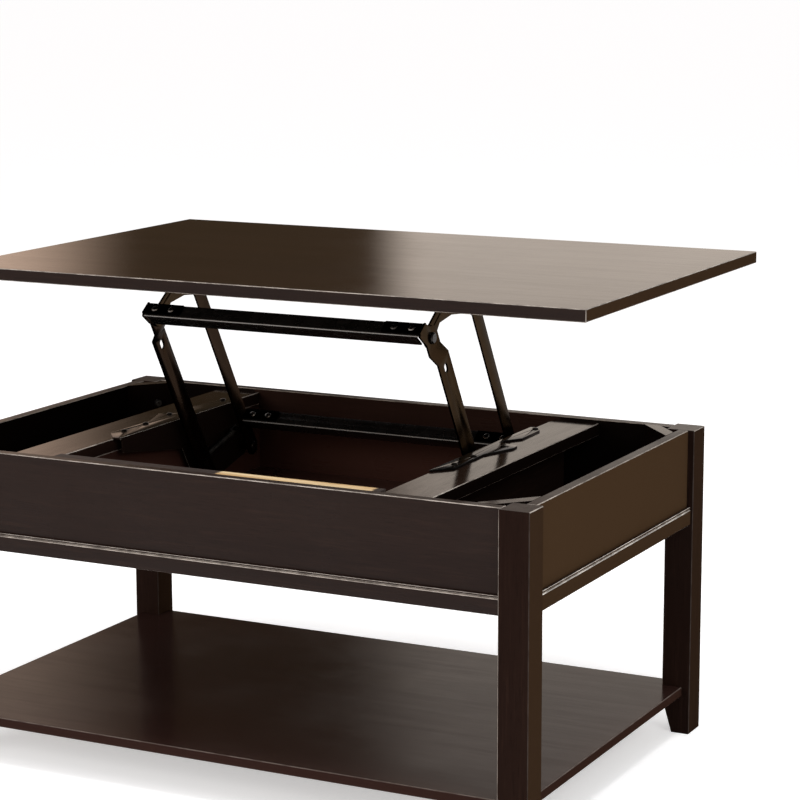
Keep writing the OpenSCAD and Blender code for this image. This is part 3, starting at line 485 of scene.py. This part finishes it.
# The left bracket is painted lighter and browner than the right one, its edges too, as painted
# light
LEFT_BRACKET = painted_steel("bracket_left", linear(20, 15, 12), linear(26, 20, 16), 0.16, 1.21, Z,
                             edge_colour=linear(28, 20, 17), bend=1)
RIGHT_BRACKET = painted_steel("bracket_right", linear(12, 10, 9), linear(18, 15, 13), 0.14, 1.27, Z,
                              bend=-1)
BAR = painted_steel("bar_coat", linear(10, 9, 8), linear(17, 15, 14), 0.26, 1.50, ridge=True)
ZINC = plated_steel("zinc_plate", linear(176, 176, 172), linear(112, 112, 112), 0.34)
PIN = plated_steel("pin_plate", linear(128, 124, 119), linear(58, 55, 53), 0.24)
BOLT = plated_steel("bolt_plate", linear(58, 55, 52), linear(30, 28, 27), 0.26)
SCREW = plated_steel("screw_plate", linear(60, 57, 54), linear(28, 26, 25), 0.36)
SPRING = plated_steel("spring_wire", linear(74, 72, 69), linear(34, 33, 32), 0.38)

SHEET_STEEL = {
    "base_bracket_left": LEFT_BRACKET, "base_bracket_right": RIGHT_BRACKET,
    "front_arm_left": LEFT_ARM_SHADED, "front_arm_right": ARM,
    "rear_arm_left": LEFT_ARM_SHADED, "rear_arm_right": ARM,
    "upper_crossbar": BAR, "lower_crossbar": BAR,
    "top_bracket_left": ARM, "top_bracket_right": ARM,
}
SMALL_STEEL = {
    "hanger_bolts": ZINC, "hanger_nuts": ZINC, "base_screws": SCREW, "top_screws": SCREW,
    "upper_bar_rivets": PIN, "lower_bar_rivets": PIN, "base_pivot_pins": BOLT,
    "spring_anchor_pins": BOLT, "upper_pivot_bolts": BOLT, "arm_spring_pins": BOLT,
    "rear_pivot_pins": BOLT,
}
# Widths of the rounding along the edges, and the distance within which points are joined, in metres
STEEL_ROUND = 0.0005
RAIL_ROUND = 0.0006
WELD = 0.00001
# Edges below the first angle are shaded smooth, edges above the second are rounded
SMOOTH_ANGLE = math.radians(32)
ROUND_ANGLE = math.radians(40)


def smooth_tree():
    """Smooth shading with sharp edges kept, over whatever the modifiers before it made."""
    tree = bpy.data.node_groups.new("smooth_by_angle", "GeometryNodeTree")
    for in_out in ("INPUT", "OUTPUT"):
        tree.interface.new_socket("Geometry", in_out=in_out, socket_type="NodeSocketGeometry")
    source = add(tree, "NodeGroupInput").outputs[0]
    drop = add(tree, "GeometryNodeRemoveAttribute", {"Geometry": source, "Name": "custom_normal"})
    angle = add(tree, "GeometryNodeInputMeshEdgeAngle").outputs[0]
    small = add(tree, "FunctionNodeCompare", {0: angle, 1: SMOOTH_ANGLE}, operation="LESS_THAN")
    edges = add(tree, "GeometryNodeSetShadeSmooth", {
        "Geometry": drop.outputs[0], "Shade Smooth": small.outputs[0]}, domain="EDGE")
    faces = add(tree, "GeometryNodeSetShadeSmooth", {
        "Geometry": edges.outputs[0], "Shade Smooth": True}, domain="FACE")
    add(tree, "NodeGroupOutput", {0: faces.outputs[0]})
    return tree


SMOOTH = smooth_tree()


def ease(o, width, segments=2):
    """Rounds the sharp edges of a CAD node by modifiers alone."""
    weld = o.modifiers.new("weld", "WELD")
    weld.merge_threshold = WELD
    bevel = o.modifiers.new("ease", "BEVEL")
    bevel.width = width
    bevel.segments = segments
    bevel.limit_method = "ANGLE"
    bevel.angle_limit = ROUND_ANGLE
    bevel.use_clamp_overlap = True
    smooth = o.modifiers.new("smooth", "NODES")
    smooth.node_group = SMOOTH


def dress(name, material):
    nodes[name].material_slots[0].material = material


for number, (name, look) in enumerate(WOOD.items()):
    dress(name, stained_wood(name, number, *look))
dress("front_cleat", bare_wood("cleat", CLEAT_BARE))
dress("shelf_dowels", bare_wood("dowel"))
for name, material in {**SHEET_STEEL, **SMALL_STEEL}.items():
    dress(name, material)
for name in SHEET_STEEL:
    ease(nodes[name], STEEL_ROUND)
for name in ("rail_front", "rail_rear", "rail_left", "rail_right"):
    ease(nodes[name], RAIL_ROUND, 1)


# ---------------------------------------------------------------- springs

# Distance of a spring from the middle along X, in metres
SPRING_X = 0.23675
# How much further in the left-hand side of the lift stands
LEFT_IN = 0.010
# Middles of the pins in Y and Z
ARM_PIN = Vector((BODY_Y + 0.0675, 0.3723109))
FIXED_PIN = Vector((BODY_Y + 0.177, 0.402))
WIRE_R = 0.0009
COIL_R = 0.0047
COILS = 25
PITCH = 0.0033
# Radius of the bend from a hook to the coils, and the angle that a hook goes round
HOOK_BEND = 0.0026
HOOK_TURN = math.radians(200)
# Steps of a hook, of a bend, of one coil and round the wire
HOOK_STEPS = 20
BEND_STEPS = 8
COIL_STEPS = 20
WIRE_SIDES = 10
# Height of the domed ends of the wire, as a share of its radius
DOME = 0.7


def spring_line():
    """Middle line of the wire: along the spring, across it in the plane of the arms, across the
    table."""
    length = (FIXED_PIN - ARM_PIN).length
    coil_l = COILS * PITCH
    start = (length - coil_l) / 2
    line = []
    for i in range(HOOK_STEPS + 1):
        q = HOOK_TURN * (1 - i / HOOK_STEPS)
        line.append((-COIL_R * math.sin(q), COIL_R * math.cos(q), -HOOK_BEND))
    for i in range(1, BEND_STEPS + 1):
        q = math.pi / 2 * (1 - i / BEND_STEPS)
        line.append((start - HOOK_BEND * (1 - math.cos(q)), COIL_R, -HOOK_BEND * math.sin(q)))
    steps = COILS * COIL_STEPS
    for i in range(1, steps):
        q = 2 * math.pi * i / COIL_STEPS
        line.append((start + coil_l * i / steps, COIL_R * math.cos(q), COIL_R * math.sin(q)))
    for i in range(BEND_STEPS + 1):
        q = math.pi / 2 * i / BEND_STEPS
        along = start + coil_l + HOOK_BEND * (1 - math.cos(q))
        line.append((along, COIL_R, HOOK_BEND * math.sin(q)))
    for i in range(HOOK_STEPS + 1):
        q = HOOK_TURN * i / HOOK_STEPS
        line.append((length + COIL_R * math.sin(q), COIL_R * math.cos(q), HOOK_BEND))
    return np.array(line)


def tube(name, line, radius, sides):
    """A round wire along a line, with domed ends."""
    tangents = np.gradient(line, axis=0)
    tangents /= np.linalg.norm(tangents, axis=1)[:, None]
    up = np.array([0.0, 1.0, 0.0])
    turn = [2 * math.pi * k / sides for k in range(sides)]
    verts = []
    for point, tangent in zip(line, tangents):
        up = up - tangent * up.dot(tangent)
        up /= np.linalg.norm(up)
        side = np.cross(tangent, up)
        verts += [tuple(point + radius * (math.cos(q) * up + math.sin(q) * side)) for q in turn]
    last = len(line) - 1
    faces = []
    for i in range(last):
        for k in range(sides):
            a, b = i * sides + k, i * sides + (k + 1) % sides
            faces.append((a, b, b + sides, a + sides))
    for end, tip in ((0, -1), (last, 1)):
        verts.append(tuple(line[end] + tip * tangents[end] * radius * DOME))
        centre = len(verts) - 1
        for k in range(sides):
            a, b = end * sides + k, end * sides + (k + 1) % sides
            faces.append((b, a, centre) if tip < 0 else (a, b, centre))
    mesh = bpy.data.meshes.new(name)
    mesh.from_pydata(verts, [], faces)
    mesh.validate()
    mesh.polygons.foreach_set("use_smooth", [True] * len(mesh.polygons))
    return show(name, mesh)


def spring(side, sign):
    """A spring between its two pins."""
    local = spring_line()
    along = (FIXED_PIN - ARM_PIN).normalized()
    across = Vector((-along.y, along.x))
    line = np.empty_like(local)
    middle = sign * SPRING_X + (LEFT_IN if sign < 0 else 0.0)
    line[:, 0] = middle + sign * local[:, 2]
    line[:, 1] = ARM_PIN.x + local[:, 0] * along.x + local[:, 1] * across.x
    line[:, 2] = ARM_PIN.y + local[:, 0] * along.y + local[:, 1] * across.y
    piece = tube("spring_coil_" + side, line, WIRE_R, WIRE_SIDES)
    piece.data.materials.append(SPRING)
    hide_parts("spring_" + side)
    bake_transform(piece)


spring("left", -1)
spring("right", 1)


# ---------------------------------------------------------------- floor, light and camera

# Half the floor's width, in metres
FLOOR_REACH = 150.0
FLOOR_COLOUR = (0.93, 0.93, 0.93, 1.0)
# What the floor adds to its own light where it is seen or mirrored, so that it shows white
FLOOR_WHITE = 0.46

SKY = (0.52, 0.53, 0.55, 1.0)
# The band near the horizon, to the right of the camera's view and to its left
LOW_RIGHT = (0.93, 0.81, 0.70, 1.0)
LOW_LEFT = (1.10, 0.79, 0.60, 1.0)
FLAG = (0.055, 0.036, 0.018, 1.0)

# Lamp: place, aim, width and length, power, and whether surfaces mirror it. The image of the
# front lamp would burn out the tabletop seen from behind.
LAMPS = {
    "overhead": ((0.5, -0.3, 3.4), (0.0, 0.0, 0.4), (1.6, 1.0), 62.0, True),
    "front": ((-1.7, -3.6, 1.85), (0.0, 0.0, 0.45), (2.6, 1.5), 60.0, False),
    "side": ((3.2, -1.6, 2.6), (0.0, 0.0, 0.4), (1.4, 1.2), 24.0, True),
}

# Place in metres, sensor and lens in millimetres, the rest in degrees
CAMERA_PLACE = (1.6811, -3.0312 + BODY_Y, 1.1365)
CAMERA_SENSOR = 36.0
CAMERA_LENS = 113.96
CAMERA_AZIMUTH = 26.98
CAMERA_DOWN = 10.52
CAMERA_ROLL = -0.14


def floor():
    r = FLOOR_REACH
    mesh = bpy.data.meshes.new("floor")
    mesh.from_pydata([(-r, -r, 0), (r, -r, 0), (r, r, 0), (-r, r, 0)], [], [(0, 1, 2, 3)])
    material, tree, shader = new_material("pale_floor")
    path = add(tree, "ShaderNodeLightPath")
    seen = math_node(tree, "MAXIMUM", path.outputs["Is Camera Ray"], path.outputs["Is Glossy Ray"])
    seen = math_node(tree, "MAXIMUM", seen, path.outputs["Is Transmission Ray"])
    tree.links.new(product(tree, seen, FLOOR_WHITE), shader.inputs["Emission Strength"])
    shader.inputs["Emission Color"].default_value = (1.0, 1.0, 1.0, 1.0)
    shader.inputs["Base Color"].default_value = FLOOR_COLOUR
    shader.inputs["Roughness"].default_value = 0.9
    shader.inputs["Specular IOR Level"].default_value = 0.0
    mesh.materials.append(material)
    show("floor", mesh)


def world():
    """A soft surround, warm near the horizon, with a dark flag to the back and left of the
    table."""
    w = bpy.data.worlds.new("studio")
    bpy.context.scene.world = w
    w.use_nodes = True
    tree = w.node_tree
    tree.nodes.clear()
    x, y, z = split(tree, add(tree, "ShaderNodeTexCoord").outputs["Generated"])
    azimuth = math_node(tree, "ARCTAN2", product(tree, x, -1.0), y)

    def round_step(low, high, to_low=0.0, to_high=1.0):
        """A smooth step over the degrees from +Y towards -X."""
        return between(tree, azimuth, math.radians(low), math.radians(high), to_low, to_high)

    flag = product(tree, round_step(26.4, 27.8), round_step(32.8, 36.4, 1.0, 0.0))
    flag = product(tree, flag, between(tree, z, 0.36, 0.45, 1.0, 0.0))
    warm = mix_colour(tree, round_step(25.0, 34.0), LOW_RIGHT, LOW_LEFT)
    glow = round_step(20.0, 23.0, 1.04, 0.98)
    warm = add(tree, "ShaderNodeVectorMath", {0: warm, "Scale": glow}, operation="SCALE").outputs[0]
    colour = mix_colour(tree, between(tree, z, 0.25, 0.45, 1.0, 0.0), SKY, warm)
    colour = mix_colour(tree, flag, colour, FLAG)
    shine = add(tree, "ShaderNodeBackground", {"Color": colour, "Strength": 1.0})
    add(tree, "ShaderNodeOutputWorld", {0: shine.outputs[0]})


def lamp(name, place, aim, size, power, mirrored):
    data = bpy.data.lights.new(name, "AREA")
    data.shape = "RECTANGLE"
    data.size, data.size_y = size
    data.energy = power
    o = show(name, data)
    o.location = place
    o.rotation_euler = (Vector(aim) - Vector(place)).to_track_quat("-Z", "Y").to_euler()
    o.visible_glossy = mirrored


def camera():
    data = bpy.data.cameras.new("camera")
    data.sensor_width = CAMERA_SENSOR
    data.lens = CAMERA_LENS
    o = show("camera", data)
    turn = Matrix.Identity(4)
    for angle, axis in ((CAMERA_AZIMUTH, "Z"), (90 - CAMERA_DOWN, "X"), (CAMERA_ROLL, "Z")):
        turn = turn @ Matrix.Rotation(math.radians(angle), 4, axis)
    o.matrix_world = Matrix.Translation(CAMERA_PLACE) @ turn
    bpy.context.scene.camera = o


floor()
world()
for name, settings in LAMPS.items():
    lamp(name, *settings)
camera()
bpy.context.scene.view_settings.view_transform = "Standard"

bpy.context.view_layer.update()
